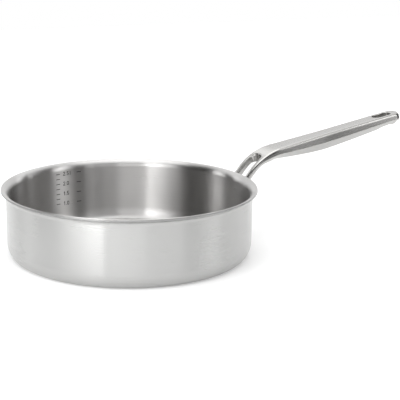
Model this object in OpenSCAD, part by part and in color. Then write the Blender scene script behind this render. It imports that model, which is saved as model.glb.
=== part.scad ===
// Deep frying pan of 24 cm: a straight-sided clad steel body with a flared pouring lip,
// and a cast steel handle that forks into two feet welded to the wall under the lip.
// Millimetres. The origin is on the pan's axis in the plane of its base. The handle runs along +X.

/* [Pan body] */
// Radius of the cooking space inside the straight wall
inner_r = 120; // [90:1:150]
// Height from the base to the top of the lip
pan_h = 68.5; // [60:0.5:110]
// Thickness of the stainless lining that touches the food
lining_t = 0.5; // [0.3:0.1:0.8]
// Thickness of the aluminium core that spreads the heat
core_t = 1.4; // [0.8:0.1:3]
// Thickness of the magnetic stainless skin outside
skin_t = 0.5; // [0.3:0.1:0.8]

/* [Bottom corner] */
// How far in from the wall the rounded bottom corner reaches
corner_run = 10; // [8:0.1:20]
// How far up the wall the rounded bottom corner reaches
corner_rise = 15; // [12:0.5:28]

/* [Pouring lip] */
// Radius of the outward curl, measured on the outside of the sheet
lip_r = 5.5; // [4:0.5:12]
// Angle that the curl turns away from the upright wall
lip_angle = 83; // [45:1:85]
// Rounding of the polished edge of the sheet
lip_edge_r = 0.8; // [0.3:0.1:1]

/* [Capacity scale] */
// Volume of the lowest mark in litres
scale_from = 1; // [0.5:0.5:1]
// Volume of the highest mark in litres
scale_to = 2.5; // [1.5:0.5:2.5]
// Litres between two marks of the fine column
scale_step = 0.25; // [0.25:0.25:0.5]
// Litres between two marks of the coarse column
coarse_step = 0.5; // [0.5:0.5:1]
// Length of a mark
tick_l = 5; // [2:0.2:8]
// Width of the line of a mark
tick_w = 0.7; // [0.4:0.1:1.2]
// Depth of the etching
etch_d = 0.12; // [0.05:0.01:0.2]
// Height of the numerals
digit_h = 4.4; // [3:0.1:5]
// Angle round the wall from the handle to the numerals
numeral_angle = 99; // [60:0.5:300]
// Distance round the wall from the numerals to the middle of the fine column
fine_offset = 10.2; // [7:0.1:14]
// Distance round the wall from the numerals to the middle of the coarse column
coarse_offset = 15.8; // [9:0.1:20]

/* [Handle] */
// Distance from the pan's outside wall to the end of the handle
handle_reach = 218; // [180:0.2:240]
// How far the end of the handle rises above the lip
handle_rise = 51.8; // [40:0.1:62]
// Slope of the grip above the horizontal
grip_tilt = 9.2; // [4:0.2:12]
// Width of the grip
grip_w = 23; // [18:0.2:28]
// Depth of the grip at its belly
belly_d = 18.4; // [13:0.2:20]
// Depth of the grip at its far end
butt_d = 13.6; // [8:0.2:14]
// Depth of the handle at the neck where it forks
neck_d = 11.6; // [8:0.2:12.8]
// Angle that the sides lean in towards the top
side_draft = 10; // [0:1:12]
// Rounding along the top edges
edge_r = 2.4; // [0.8:0.1:2.6]
// Rounding of the top at the far end
nose_r = 3; // [2:0.5:6]

/* [Bend and fork] */
// Radius of the bend from the grip down to the fork
bend_r = 64; // [50:0.5:70]
// Distance from the pan's outside wall to the lower end of the bend
bend_reach = 12.1; // [11:0.1:16]
// Slope of the prongs below the bend
prong_slope = 50; // [40:0.2:56]
// Thickness of the prongs
prong_d = 6.8; // [4:0.1:8]
// Width over both prongs
fork_w = 28.4; // [24:0.2:32]
// Width of the gap between the prongs
fork_gap = 14.2; // [10:0.2:15]
// Distance from the pan's outside wall to the end of the gap
fork_reach = 30.2; // [26:0.2:36]

/* [Feet] */
// Width over both feet
foot_w = 33; // [30:0.5:38]
// Distance from the top of the lip down to the lower end of the feet
foot_drop = 33.5; // [31:0.5:38]
// Radius of the turn from a prong into its foot
foot_bend_r = 12; // [9:0.5:15]

/* [Hanging slot] */
// Length of the slot
hang_l = 23.6; // [16:0.2:32]
// Width of the slot
hang_w = 12.4; // [8:0.2:14]
// Distance from the end of the handle to the slot
hang_inset = 11.8; // [10:0.2:20]

/* [Welds] */
// Number of welds in each foot
weld_count = 3; // [2:1:3]
// Diameter of a weld nugget
weld_d = 4; // [3:0.1:5]
// How deep a nugget goes into the skin
weld_in_skin = 0.3; // [0.1:0.05:0.3]
// How deep a nugget goes into the foot
weld_in_foot = 0.9; // [0.5:0.1:1.5]
// Distance between two nuggets
weld_pitch = 6; // [5.5:0.1:6.5]

/* [Hidden] */

steel = [0.78, 0.78, 0.78];
steel_outside = [0.72, 0.72, 0.72];
aluminium = [0.85, 0.86, 0.88];
cast_steel = [0.75, 0.75, 0.74];
weld_metal = [0.60, 0.60, 0.62];

// How far a cut runs past the face it opens
cut_over = 1;
// Facets of a full circle, and steps of the small arcs of an outline
round_facets = 96;
corner_steps = 14;
lip_steps = 10;
edge_steps = 4;

// Cross-sections of the handle along each stretch, and steps of its rounded edges
tip_steps = 7;
grip_steps = 15;
bend_steps = 14;
prong_steps = 3;
turn_steps = 6;
foot_steps = 4;
top_edge_steps = 4;
side_edge_steps = 2;
tip_first_angle = 8;

// Where the handle's forms begin: the butt as a share of the grip's width, the belly and the widening
// of the grip's length, the neck of the way from the bend to the crotch, and the thinning of the gap
butt_share = 0.87;
belly_share = 0.65;
widening_share = 0.55;
neck_share = 0.45;
thinning_share = 0.85;
// How full the curve of the underside is, and how the feet taper
belly_power = 1.4;
foot_power = 2;
// Depths and flats as shares of the full depth or width at their place
foot_tip_share = 0.7;
facet_share = 0.5;
tip_facet_share = 0.85;
grip_bottom_share = 0.42;
prong_bottom_share = 0.8;
// Rounding of the other edges as shares of the rounding along the top
side_edge_share = 0.6;
bottom_edge_share = 1.8;
// How far the foot's top line lies inside the sheet, and the welds' margin at the foot's lower end
foot_bury_share = 0.6;
weld_margin_share = 0.9;

// The sheet and its lip
sheet_t = lining_t + core_t + skin_t;
wall_r = inner_r + sheet_t;
lip_edge_z = pan_h - sheet_t * sin(lip_angle);
lip_start_z = lip_edge_z - lip_r * sin(lip_angle);

function smooth(t) = let (u = min(1, max(0, t))) u * u * (3 - 2 * u);
function mix(a, b, t) = a + (b - a) * t;
function flip(points) = [for (i = [len(points) - 1:-1:0]) points[i]];

// How far the polished rounding takes the lip's edge back at a depth below the outside of the sheet
function edge_back(depth) =
    let (rim = min(depth, sheet_t - depth))
    rim >= lip_edge_r ? 0 : lip_edge_r - sqrt(pow(lip_edge_r, 2) - pow(lip_edge_r - rim, 2));
function lip_end(depth) = lip_angle - edge_back(depth) / (lip_r + depth) * 180 / PI;

// One surface of the sheet at a depth below its outside, from the axis to the edge of the lip
function corner_point(depth, a) =
    let (slope = [corner_rise * sin(a), corner_run * cos(a)], size = norm(slope))
    [wall_r - corner_run + corner_run * sin(a) - depth * slope[0] / size,
     corner_rise - corner_rise * cos(a) + depth * slope[1] / size];
function lip_point(depth, a) =
    [wall_r + lip_r - (lip_r + depth) * cos(a), lip_start_z + (lip_r + depth) * sin(a)];
function sheet_line(depth) = concat(
    [[0, depth]],
    [for (i = [0:corner_steps]) corner_point(depth, 90 * i / corner_steps)],
    [for (i = [0:lip_steps]) lip_point(depth, lip_end(depth) * i / lip_steps)]
);
function lip_edge(from, to) =
    [for (i = [1:edge_steps - 1])
        let (depth = mix(from, to, i / edge_steps))
        lip_point(depth, lip_end(depth))];

module layer(depth, thickness) {
    rotate_extrude($fn = round_facets)
        polygon(concat(
            sheet_line(depth),
            lip_edge(depth, depth + thickness),
            flip(sheet_line(depth + thickness))
        ));
}

// Height of the liquid for a volume in litres: the wall's cylinder, plus the part that the corner takes
inside_run = corner_run - sheet_t;
inside_rise = corner_rise - sheet_t;
mm3_per_litre = 1e6;
spandrel_share = 0.22;
corner_loss = 2 * PI * (inner_r - inside_run * spandrel_share) * inside_run * inside_rise * (1 - PI / 4);
function level(litres) = sheet_t + (litres * mm3_per_litre + corner_loss) / (PI * inner_r * inner_r);

// How many marks a column has, with a little slack because the division may fall just short
count_slack = 0.001;
function mark_count(step) = floor((scale_to - scale_from) / step + count_slack) + 1;

// Numerals drawn from bars and ring pieces, in widths and strokes taken from their height
digit_w_share = 0.58;
stroke_share = 0.15;
digit_gap_share = 0.16;
digit_w = digit_h * digit_w_share;
stroke = digit_h * stroke_share;
digit_gap = digit_h * digit_gap_share;
numeral_w = 2 * digit_w + stroke + 2 * digit_gap;
glyph_facets = 24;

module bar(x, y, w, h) {
    translate([x, y])
        square([w, h]);
}

module ring(r) {
    difference() {
        circle(r = r, $fn = glyph_facets);
        circle(r = r - stroke, $fn = glyph_facets);
    }
}

module digit_0() {
    r = digit_w / 2;
    for (end = [0, 1])
        translate([r, mix(r, digit_h - r, end)])
            intersection() {
                ring(r);
                bar(-r, mix(-r, 0, end), digit_w, r);
            }
    for (x = [0, digit_w - stroke])
        bar(x, r, stroke, digit_h - digit_w);
}

module digit_1() {
    bar(digit_w - stroke * 2, 0, stroke, digit_h);
    polygon([
        [digit_w - stroke * 2, digit_h],
        [digit_w - stroke * 2, digit_h - stroke * 1.6],
        [stroke, digit_h - stroke * 3],
        [stroke, digit_h - stroke * 1.6]
    ]);
}

module digit_2() {
    r = digit_w / 2;
    translate([r, digit_h - r])
        intersection() {
            ring(r);
            union() {
                bar(-r, 0, digit_w, r);
                bar(0, -r * 0.5, r, r);
            }
        }
    polygon([
        [0, 0],
        [0, stroke],
        [digit_w - stroke * 0.9, digit_h - r * 1.45],
        [digit_w - stroke * 0.1, digit_h - r * 1.45],
        [stroke * 1.6, stroke],
        [stroke * 1.6, 0]
    ]);
    bar(0, 0, digit_w, stroke);
}

module digit_5() {
    r = digit_w / 2;
    translate([r, r])
        difference() {
            ring(r);
            bar(-digit_w, -r * 0.35, digit_w, r * 1.35 - stroke);
        }
    bar(stroke * 0.3, digit_w - stroke, stroke, digit_h - digit_w + stroke);
    bar(stroke * 0.3, digit_w - stroke, r, stroke);
    bar(stroke * 0.3, digit_h - stroke, digit_w - stroke * 0.6, stroke);
}

module digit(value) {
    if (value == 0)
        digit_0();
    if (value == 1)
        digit_1();
    if (value == 2)
        digit_2();
    if (value == 5)
        digit_5();
}

// Places a flat drawing on the inside wall, upright when read from the middle of the pan
module etch(arc_mm, z) {
    rotate([0, 0, numeral_angle + arc_mm / inner_r * 180 / PI])
        translate([inner_r + etch_d, 0, z])
            rotate([90, 0, -90])
                linear_extrude(etch_d + cut_over)
                    children();
}

module tick_column(offset, step) {
    for (i = [0:mark_count(step) - 1])
        etch(offset, level(scale_from + i * step))
            translate([-tick_l / 2, -tick_w / 2])
                square([tick_l, tick_w]);
}

// Litres with one decimal, each character set square to the wall at its own place.
// The highest numeral has the letter for litres behind it.
module numerals() {
    for (i = [0:mark_count(coarse_step) - 1]) {
        litres = scale_from + i * coarse_step;
        z = level(litres) - digit_h / 2;
        etch(numeral_w / 2, z)
            digit(floor(litres));
        etch(numeral_w / 2 - digit_w - digit_gap, z)
            bar(0, 0, stroke, stroke);
        etch(digit_w - numeral_w / 2, z)
            digit(round((litres - floor(litres)) * 10));
        if (i == mark_count(coarse_step) - 1)
            etch(-numeral_w / 2 - 2 * digit_gap, z)
                bar(0, 0, stroke, digit_h);
    }
}

// The handle's top line runs from its far end along the grip, round the bend, down the prong,
// round the foot's turn and down the wall. Places on it are distances from the far end.
degrees_per_radian = 180 / PI;
foot_bury = foot_bury_share * sheet_t;
foot_x = wall_r - foot_bury;
foot_z = pan_h - foot_drop;
tip_x = wall_r + handle_reach;
tip_z = pan_h + handle_rise;
bend_end_x = wall_r + bend_reach;
bend_start_x = bend_end_x + bend_r * (sin(prong_slope) - sin(grip_tilt));
grip_len = (tip_x - bend_start_x) / cos(grip_tilt);
prong_len = (bend_end_x - foot_x - foot_bend_r * (1 - sin(prong_slope))) / cos(prong_slope);
bend_start = grip_len;
bend_end = bend_start + bend_r * (prong_slope - grip_tilt) / degrees_per_radian;
turn_start = bend_end + prong_len;
turn_end = turn_start + foot_bend_r * (90 - prong_slope) / degrees_per_radian;

function slope_at(s) =
    s < bend_start ? grip_tilt
    : s < bend_end ? grip_tilt + (s - bend_start) / bend_r * degrees_per_radian
    : s < turn_start ? prong_slope
    : s < turn_end ? prong_slope + (s - turn_start) / foot_bend_r * degrees_per_radian
    : 90;
function along(point, slope, distance) = point - [cos(slope), sin(slope)] * distance;
function round_bend(point, r, from, to) = point - r * [sin(to) - sin(from), cos(from) - cos(to)];
bend_start_point = along([tip_x, tip_z], grip_tilt, bend_start);
bend_end_point = round_bend(bend_start_point, bend_r, grip_tilt, prong_slope);
turn_start_point = along(bend_end_point, prong_slope, prong_len);
turn_end_point = round_bend(turn_start_point, foot_bend_r, prong_slope, 90);
function top_at(s) =
    s < bend_start ? along([tip_x, tip_z], grip_tilt, s)
    : s < bend_end ? round_bend(bend_start_point, bend_r, grip_tilt, slope_at(s))
    : s < turn_start ? along(bend_end_point, prong_slope, s - bend_end)
    : s < turn_end ? round_bend(turn_start_point, foot_bend_r, prong_slope, slope_at(s))
    : along(turn_end_point, 90, s - turn_end);
foot_end = turn_end + turn_end_point[1] - foot_z;

// The gap between the prongs ends in the bend
crotch_slope = asin(sin(grip_tilt) + (bend_start_x - wall_r - fork_reach) / bend_r);
crotch = bend_start + bend_r * (crotch_slope - grip_tilt) / degrees_per_radian;
prong_start = crotch + fork_gap * thinning_share;

// Depth of the handle below its top line
butt_s = grip_w * butt_share;
belly_s = grip_len * belly_share;
neck_s = mix(bend_start, crotch, neck_share);
function depth_at(s) =
    s < butt_s ? butt_d
    : s < belly_s ? mix(butt_d, belly_d, 1 - pow((belly_s - s) / (belly_s - butt_s), belly_power))
    : s < neck_s ? mix(belly_d, neck_d, pow((s - belly_s) / (neck_s - belly_s), belly_power))
    : s < turn_end ? mix(neck_d, prong_d, smooth((s - neck_s) / (prong_start - neck_s)))
    : prong_d * mix(1, foot_tip_share, pow((s - turn_end) / (foot_end - turn_end), foot_power));

// Half of the handle's width: a half circle at the far end, the grip, the fork and the feet
widening_s = grip_len * widening_share;
function half_width_at(s) =
    s < grip_w / 2 ? sqrt(pow(grip_w / 2, 2) - pow(grip_w / 2 - s, 2))
    : s < turn_start
        ? mix(grip_w, fork_w, smooth((s - widening_s) / (prong_start - widening_s))) / 2
    : mix(fork_w, foot_w, smooth((s - turn_start) / (turn_end - turn_start))) / 2;
function bottom_share_at(s) =
    mix(grip_bottom_share, prong_bottom_share, smooth((s - bend_start) / (prong_start - bend_start)));

// Points that round a corner between two neighbours, starting and ending at a distance from it
function rounded(before, corner, after, distance, steps) =
    let (a = before - corner, b = after - corner,
         start = corner + a / norm(a) * min(distance, norm(a) / 2),
         end = corner + b / norm(b) * min(distance, norm(b) / 2))
    [for (i = [0:steps]) let (t = i / steps) mix(mix(start, corner, t), mix(corner, end, t), t)];

// How much of the far end's rounding there is, and depth of the shoulder where the sides meet the belly
function nose_at(s) = 1 - smooth(s / nose_r / 2);
function shoulder_at(s) = depth_at(s) * mix(facet_share, tip_facet_share, nose_at(s));

// Half of the cross-section, from the middle of the top to the middle of the underside
function half_section(s) =
    let (w = half_width_at(s), d = depth_at(s), shoulder = shoulder_at(s),
         lean = shoulder * tan(side_draft) * w / grip_w * 2,
         top = [w - lean, 0], side = [w, shoulder], bottom = [w * bottom_share_at(s), d])
    concat(
        rounded([0, 0], top, side, mix(edge_r, nose_r, nose_at(s)), top_edge_steps),
        rounded(top, side, bottom, edge_r * side_edge_share, side_edge_steps),
        rounded(side, bottom, [0, d], edge_r * bottom_edge_share, side_edge_steps)
    );
function top_drop_at(s) = s < nose_r ? nose_r - sqrt(pow(nose_r, 2) - pow(nose_r - s, 2)) : 0;
function ring_at(s) =
    let (half = half_section(s), shoulder = shoulder_at(s), drop = top_drop_at(s),
         top = top_at(s), slope = slope_at(s))
    [for (p = concat(half, flip([for (p = half) [-p[0], p[1]]])))
        let (below = p[1] < shoulder ? mix(drop, shoulder, p[1] / shoulder) : p[1])
        [top[0] + below * sin(slope), p[0], top[1] - below * cos(slope)]];

// Where the cross-sections stand, closer together where the handle turns or narrows
function spread(from, to, steps) = [for (i = [1:steps]) mix(from, to, i / steps)];
stations = concat(
    [for (i = [0:tip_steps]) grip_w / 2 * (1 - cos(mix(tip_first_angle, 90, i / tip_steps)))],
    spread(grip_w / 2, bend_start, grip_steps),
    spread(bend_start, bend_end, bend_steps),
    spread(bend_end, turn_start, prong_steps),
    spread(turn_start, turn_end, turn_steps),
    spread(turn_end, foot_end, foot_steps)
);

module swept_handle() {
    rings = [for (s = stations) ring_at(s)];
    sides = len(rings[0]);
    last = len(rings) - 1;
    polyhedron(
        points = [for (ring = rings) each ring],
        faces = concat(
            [[for (j = [0:sides - 1]) j]],
            [for (i = [0:last - 1], j = [0:sides - 1])
                [i * sides + j, (i + 1) * sides + j, i * sides + (j + 1) % sides]],
            [for (i = [0:last - 1], j = [0:sides - 1])
                [i * sides + (j + 1) % sides, (i + 1) * sides + j, (i + 1) * sides + (j + 1) % sides]],
            [[for (j = [sides - 1:-1:0]) last * sides + j]]
        ),
        convexity = 6
    );
}

// A cutter square to the grip: a slot of a width whose round far end is at a point of the top line
module slot_cutter(point, length, width) {
    translate([point[0], 0, point[1]])
        rotate([0, -grip_tilt, 0])
            translate([0, 0, -tip_z])
                linear_extrude(2 * tip_z)
                    union() {
                        translate([-width / 2, 0])
                            circle(d = width, $fn = round_facets);
                        translate([width / 2 - length, 0])
                            circle(d = width, $fn = round_facets);
                        translate([width / 2 - length, -width / 2])
                            square([length - width, width]);
                    }
}

// Welds stand in a column up the middle of each foot's back
foot_middle = (fork_gap + foot_w) / 4;
weld_margin = weld_d * weld_margin_share;
module nuggets() {
    for (side = [-1, 1], i = [0:weld_count - 1])
        rotate([0, 0, side * asin(foot_middle / wall_r)])
            translate([wall_r - weld_in_skin, 0, foot_z + weld_margin + i * weld_pitch])
                rotate([0, 90, 0])
                    cylinder(d = weld_d, h = weld_in_skin + weld_in_foot, $fn = glyph_facets);
}

// The stainless sheet that the food touches, with its etched capacity scale
module inner_lining() {
    color(steel)
        difference() {
            layer(core_t + skin_t, lining_t);
            tick_column(fine_offset, scale_step);
            tick_column(-coarse_offset, coarse_step);
            numerals();
        }
}

// The aluminium sheet rolled between the two steel ones
module heat_core() {
    color(aluminium)
        layer(skin_t, core_t);
}

// The magnetic stainless sheet outside, with the marks that the welds leave in it
module outer_skin() {
    color(steel_outside)
        difference() {
            layer(0, skin_t);
            nuggets();
        }
}

// One casting: grip, bend, two prongs and their feet, which lie against the round wall
module handle() {
    color(cast_steel)
        difference() {
            swept_handle();
            translate([0, 0, foot_z - cut_over])
                cylinder(r = wall_r, h = foot_drop + cut_over, $fn = round_facets);
            slot_cutter([wall_r + fork_reach, top_at(crotch)[1]], fork_reach + tip_z, fork_gap);
            slot_cutter(top_at(hang_inset), hang_l, hang_w);
            nuggets();
        }
}

// The metal that the projection welds melted between the feet and the skin
module weld_nuggets() {
    color(weld_metal)
        nuggets();
}

inner_lining();
heat_core();
outer_skin();
handle();
weld_nuggets();
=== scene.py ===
"""Looks of a deep frying pan of 24 cm: a brushed clad steel body and a forked satin handle.

Lengths in the classes are millimetres, as on a drawing, and become metres where a mesh is made.
The origin is on the pan's axis in the plane of its base, the handle runs along +X, and +Z is up.
"""

import logging
import math
from dataclasses import dataclass, field
from enum import Enum
from typing import Callable, Iterable, Sequence

import bpy
import numpy as np
from mathutils import Matrix, Vector, geometry


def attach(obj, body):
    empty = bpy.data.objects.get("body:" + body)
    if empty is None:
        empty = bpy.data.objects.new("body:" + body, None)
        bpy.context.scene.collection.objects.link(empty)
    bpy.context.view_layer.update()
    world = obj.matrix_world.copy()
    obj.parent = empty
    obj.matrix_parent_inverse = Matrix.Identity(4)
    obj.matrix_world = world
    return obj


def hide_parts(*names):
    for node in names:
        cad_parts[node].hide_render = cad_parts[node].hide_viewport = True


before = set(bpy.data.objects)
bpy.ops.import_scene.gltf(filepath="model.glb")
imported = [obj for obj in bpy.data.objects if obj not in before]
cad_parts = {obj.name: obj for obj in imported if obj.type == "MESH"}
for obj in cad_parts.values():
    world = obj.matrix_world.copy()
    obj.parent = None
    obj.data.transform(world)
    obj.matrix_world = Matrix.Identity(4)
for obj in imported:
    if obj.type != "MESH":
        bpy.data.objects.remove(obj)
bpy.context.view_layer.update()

log = logging.getLogger("deep_frying_pan")

MM = 0.001
MM3_PER_LITRE = 1e6
ROOT_BODY = "root"

WHITE = (1.0, 1.0, 1.0, 1.0)
FLOOR_PAINT = "F0F0F0"
FLAG_CLOTH = "262626"
QUARTER_TURN = 0.25

Socket = bpy.types.NodeSocket
Point2 = tuple[float, float]
Number = float | np.ndarray


class Slot(Enum):
    """Material slots of the record."""

    LINING = "lining_steel"
    CORE = "core_aluminium"
    SKIN = "skin_steel"
    HANDLE = "handle_steel"
    WELD = "weld_metal"


class Grain(Enum):
    """Ways in which a metal surface has been brushed, each with the axis that its tangents circle."""

    ROUND_THE_PAN = "Z"
    ALONG_THE_HANDLE = "X"


def srgb(hex_colour: str) -> tuple[float, float, float, float]:
    """Turns an sRGB hex colour to linear light.

    Args:
        hex_colour: Six hex digits, such as "C8C8C6".

    Returns:
        Linear red, green, blue and an alpha of 1.
    """
    values = [int(hex_colour[i:i + 2], 16) / 255 for i in (0, 2, 4)]
    linear = [v / 12.92 if v <= 0.04045 else ((v + 0.055) / 1.055) ** 2.4 for v in values]
    return (*linear, 1.0)


def smooth(t: Number) -> Number:
    """Eases from 0 to 1, flat at both ends."""
    u = np.clip(t, 0.0, 1.0)
    return u * u * (3 - 2 * u)


def mix(a: Number, b: Number, t: Number) -> Number:
    """Blends from a to b as t goes from 0 to 1."""
    return a + (b - a) * t


def add_node(
    tree: bpy.types.NodeTree,
    kind: str,
    properties: dict[str, object] | None = None,
    inputs: dict[str | int, object] | None = None,
) -> bpy.types.Node:
    """Adds a node with its settings and links.

    Args:
        tree: Node tree that gets the node.
        kind: Blender's name for the type of node.
        properties: Values of the node's own properties.
        inputs: For each input, a value or the output that feeds it.

    Returns:
        The new node.
    """
    node = tree.nodes.new(kind)
    for name, value in (properties or {}).items():
        setattr(node, name, value)
    for key, value in (inputs or {}).items():
        if isinstance(value, Socket):
            tree.links.new(value, node.inputs[key])
        else:
            node.inputs[key].default_value = value
    return node


def new_material(name: str) -> tuple[bpy.types.Material, bpy.types.NodeTree]:
    """Makes an empty node material.

    Args:
        name: Name of the material.

    Returns:
        The material and its cleared node tree.
    """
    material = bpy.data.materials.new(name)
    material.use_nodes = True
    material.node_tree.nodes.clear()
    return material, material.node_tree


@dataclass(frozen=True)
class BrushedSteel:
    """Stainless steel sheet or casting, finished with a belt or a pad.

    The grain of the belt spreads a reflection across the brushed lines and keeps it sharp along them,
    so that lights and edges show as soft stripes that cross the grain.
    """

    name: str
    light: str = "C6C5C3"
    dark: str = "BDBCBA"
    roughness: float = 0.24
    roughness_swing: float = 0.03
    anisotropy: float = 0.75
    grain: Grain = Grain.ROUND_THE_PAN
    # A real grit line is about 0.1 mm wide, too fine to show, so the drawn ones are this far apart in mm
    line_spacing: float = 0.6
    line_length: float = 60.0
    line_depth: float = 0.0001
    line_detail: float = 3.0
    line_harshness: float = 0.65
    # Patches where the belt pressed more or less
    cloud_size: float = 45.0
    cloud_detail: float = 2.0
    # Strengths of lines and patches together at which the steel is smoothest and roughest
    smoothest: float = 0.1
    roughest: float = 0.4

    def grain_lines(self, tree: bpy.types.NodeTree) -> Socket:
        """Draws the brushed lines.

        Args:
            tree: Node tree that gets the nodes.

        Returns:
            Output with a value of about 0.5 that varies quickly across the grain and slowly along it.
        """
        place = add_node(tree, "ShaderNodeTexCoord").outputs["Object"]
        across, along = 1 / (self.line_spacing * MM), 1 / (self.line_length * MM)
        if self.grain is Grain.ALONG_THE_HANDLE:
            stretched = add_node(tree, "ShaderNodeVectorMath", {"operation": "MULTIPLY"},
                                 {0: place, 1: (along, across, across)})
        else:
            flat = add_node(tree, "ShaderNodeVectorMath", {"operation": "MULTIPLY"},
                            {0: place, 1: (1.0, 1.0, 0.0)}).outputs["Vector"]
            radius = add_node(tree, "ShaderNodeVectorMath", {"operation": "LENGTH"},
                              {0: flat}).outputs["Value"]
            height = add_node(tree, "ShaderNodeSeparateXYZ", None, {0: place}).outputs["Z"]
            outward = add_node(tree, "ShaderNodeMath", {"operation": "ADD"},
                               {0: radius, 1: height}).outputs[0]
            profile = add_node(tree, "ShaderNodeMath", {"operation": "MULTIPLY"},
                               {0: outward, 1: across}).outputs[0]
            rise = add_node(tree, "ShaderNodeCombineXYZ", None, {"Z": profile}).outputs[0]
            stretched = add_node(tree, "ShaderNodeVectorMath", {"operation": "MULTIPLY_ADD"},
                                 {0: flat, 1: (along, along, 0.0), 2: rise})
        return add_node(tree, "ShaderNodeTexNoise", None, {
            "Vector": stretched.outputs["Vector"], "Scale": 1.0,
            "Detail": self.line_detail, "Roughness": self.line_harshness,
        }).outputs["Fac"]

    def material(self) -> bpy.types.Material:
        """Builds the node material.

        Returns:
            The finished steel.
        """
        material, tree = new_material(self.name)
        lines = self.grain_lines(tree)
        place = add_node(tree, "ShaderNodeTexCoord").outputs["Object"]
        clouds = add_node(tree, "ShaderNodeTexNoise", None, {
            "Vector": place, "Scale": 1 / (self.cloud_size * MM), "Detail": self.cloud_detail,
        }).outputs["Fac"]
        tint = add_node(tree, "ShaderNodeMix", {"data_type": "RGBA"}, {
            0: lines, 6: srgb(self.dark), 7: srgb(self.light),
        }).outputs[2]
        unevenness = add_node(tree, "ShaderNodeMath", {"operation": "MULTIPLY"},
                              {0: lines, 1: clouds}).outputs[0]
        roughness = add_node(tree, "ShaderNodeMapRange", None, {
            "Value": unevenness, "From Min": self.smoothest, "From Max": self.roughest,
            "To Min": self.roughness - self.roughness_swing, "To Max": self.roughness + self.roughness_swing,
        }).outputs[0]
        bump = add_node(tree, "ShaderNodeBump", None, {
            "Strength": 1.0, "Distance": self.line_depth * MM, "Height": lines,
        }).outputs[0]
        tangent = add_node(tree, "ShaderNodeTangent", {"direction_type": "RADIAL", "axis": self.grain.value})
        shader = add_node(tree, "ShaderNodeBsdfPrincipled", None, {
            "Base Color": tint, "Metallic": 1.0, "Roughness": roughness, "Normal": bump,
            "Tangent": tangent.outputs[0], "Anisotropic": self.anisotropy,
            "Anisotropic Rotation": QUARTER_TURN if self.grain is Grain.ROUND_THE_PAN else 0.0,
        })
        add_node(tree, "ShaderNodeOutputMaterial", None, {"Surface": shader.outputs[0]})
        return material


@dataclass(frozen=True)
class PlainMetal:
    """Metal that isn't brushed: rolled aluminium in the cut edge, weld metal, and etched steel.

    A fine mottle keeps it from looking like paint.
    """

    name: str
    light: str
    dark: str
    roughness: float
    metallic: float = 1.0
    mottle_size: float = 1.5
    mottle_detail: float = 3.0

    def material(self) -> bpy.types.Material:
        """Builds the node material.

        Returns:
            The finished metal.
        """
        material, tree = new_material(self.name)
        place = add_node(tree, "ShaderNodeTexCoord").outputs["Object"]
        mottle = add_node(tree, "ShaderNodeTexNoise", None, {
            "Vector": place, "Scale": 1 / (self.mottle_size * MM), "Detail": self.mottle_detail,
        }).outputs["Fac"]
        tint = add_node(tree, "ShaderNodeMix", {"data_type": "RGBA"}, {
            0: mottle, 6: srgb(self.dark), 7: srgb(self.light),
        }).outputs[2]
        shader = add_node(tree, "ShaderNodeBsdfPrincipled", None, {
            "Base Color": tint, "Metallic": self.metallic, "Roughness": self.roughness,
        })
        add_node(tree, "ShaderNodeOutputMaterial", None, {"Surface": shader.outputs[0]})
        return material


# Stainless sheet, brushed round the pan with a fine belt: lights stand on the wall as upright stripes
LINING_STEEL = BrushedSteel("brushed_stainless_lining", light="CAC9C8", dark="C0BFBE", roughness=0.3,
                            anisotropy=1.0, line_depth=0.00016)
# Magnetic stainless sheet, satined with a finer belt: a shade darker, with hardly a line to be seen
SKIN_STEEL = BrushedSteel("brushed_stainless_skin", light="BABAB9", dark="B7B7B6", roughness=0.27,
                          roughness_swing=0.006, anisotropy=0.95, line_depth=0.00003)
# Cast stainless, satined along its length with a pad: tighter reflections that follow its round edges
HANDLE_STEEL = BrushedSteel("satin_cast_stainless", light="B7B6B4", dark="B1B0AE", roughness=0.2,
                            anisotropy=0.3, grain=Grain.ALONG_THE_HANDLE)
# Rolled aluminium, cut and polished in the lip: a dull line between two bright ones
ROLLED_ALUMINIUM = PlainMetal("cut_edge_of_aluminium", "A2A2A1", "949493", 0.35)
# Stainless under the dark oxide that electric etching leaves: nearly black, and too rough to mirror
ETCHED_STEEL = PlainMetal("etched_and_darkened_stainless", "3C3B3A", "2E2D2D", 0.55,
                          metallic=0.6, mottle_size=0.6)
# Stainless that has melted and set again: a dull, slightly straw-coloured grey
WELD_METAL = PlainMetal("solidified_weld_metal", "A9A7A3", "8F8D8A", 0.45)


def make_piece(
    name: str,
    vertices: np.ndarray,
    faces: Sequence[Sequence[int]],
    normals: np.ndarray,
    slot: Slot,
    nodes: Iterable[str],
    materials: Sequence[bpy.types.Material],
    face_materials: Sequence[int] | None = None,
    faceted: Sequence[int] = (),
) -> bpy.types.Object:
    """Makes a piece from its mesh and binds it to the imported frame.

    Args:
        name: Name of the piece.
        vertices: Places of the vertices in millimetres.
        faces: Vertex numbers of each face, counterclockwise from outside.
        normals: True normal of the surface at each vertex.
        slot: Material slot of the record.
        nodes: CAD nodes that the piece stands for.
        materials: Materials of the piece.
        face_materials: Number of the material of each face.
        faceted: Faces that use their own flat normal.

    Returns:
        The finished object.
    """
    mesh = bpy.data.meshes.new(name)
    mesh.from_pydata((vertices * MM).tolist(), [], [list(f) for f in faces])
    mesh.shade_smooth()
    for material in materials:
        mesh.materials.append(material)
    if face_materials is not None:
        mesh.polygons.foreach_set("material_index", np.asarray(face_materials, dtype=np.int32))
    flat_faces = set(faceted)
    mesh.normals_split_custom_set([
        tuple(polygon.normal if polygon.index in flat_faces else normals[v])
        for polygon in mesh.polygons for v in polygon.vertices
    ])
    mesh.update()
    piece = bpy.data.objects.new(name, mesh)
    bpy.context.scene.collection.objects.link(piece)
    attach(piece, ROOT_BODY)
    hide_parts(*nodes)
    log.info("%s: %d faces in %s", name, len(faces), slot.value)
    return piece


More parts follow.
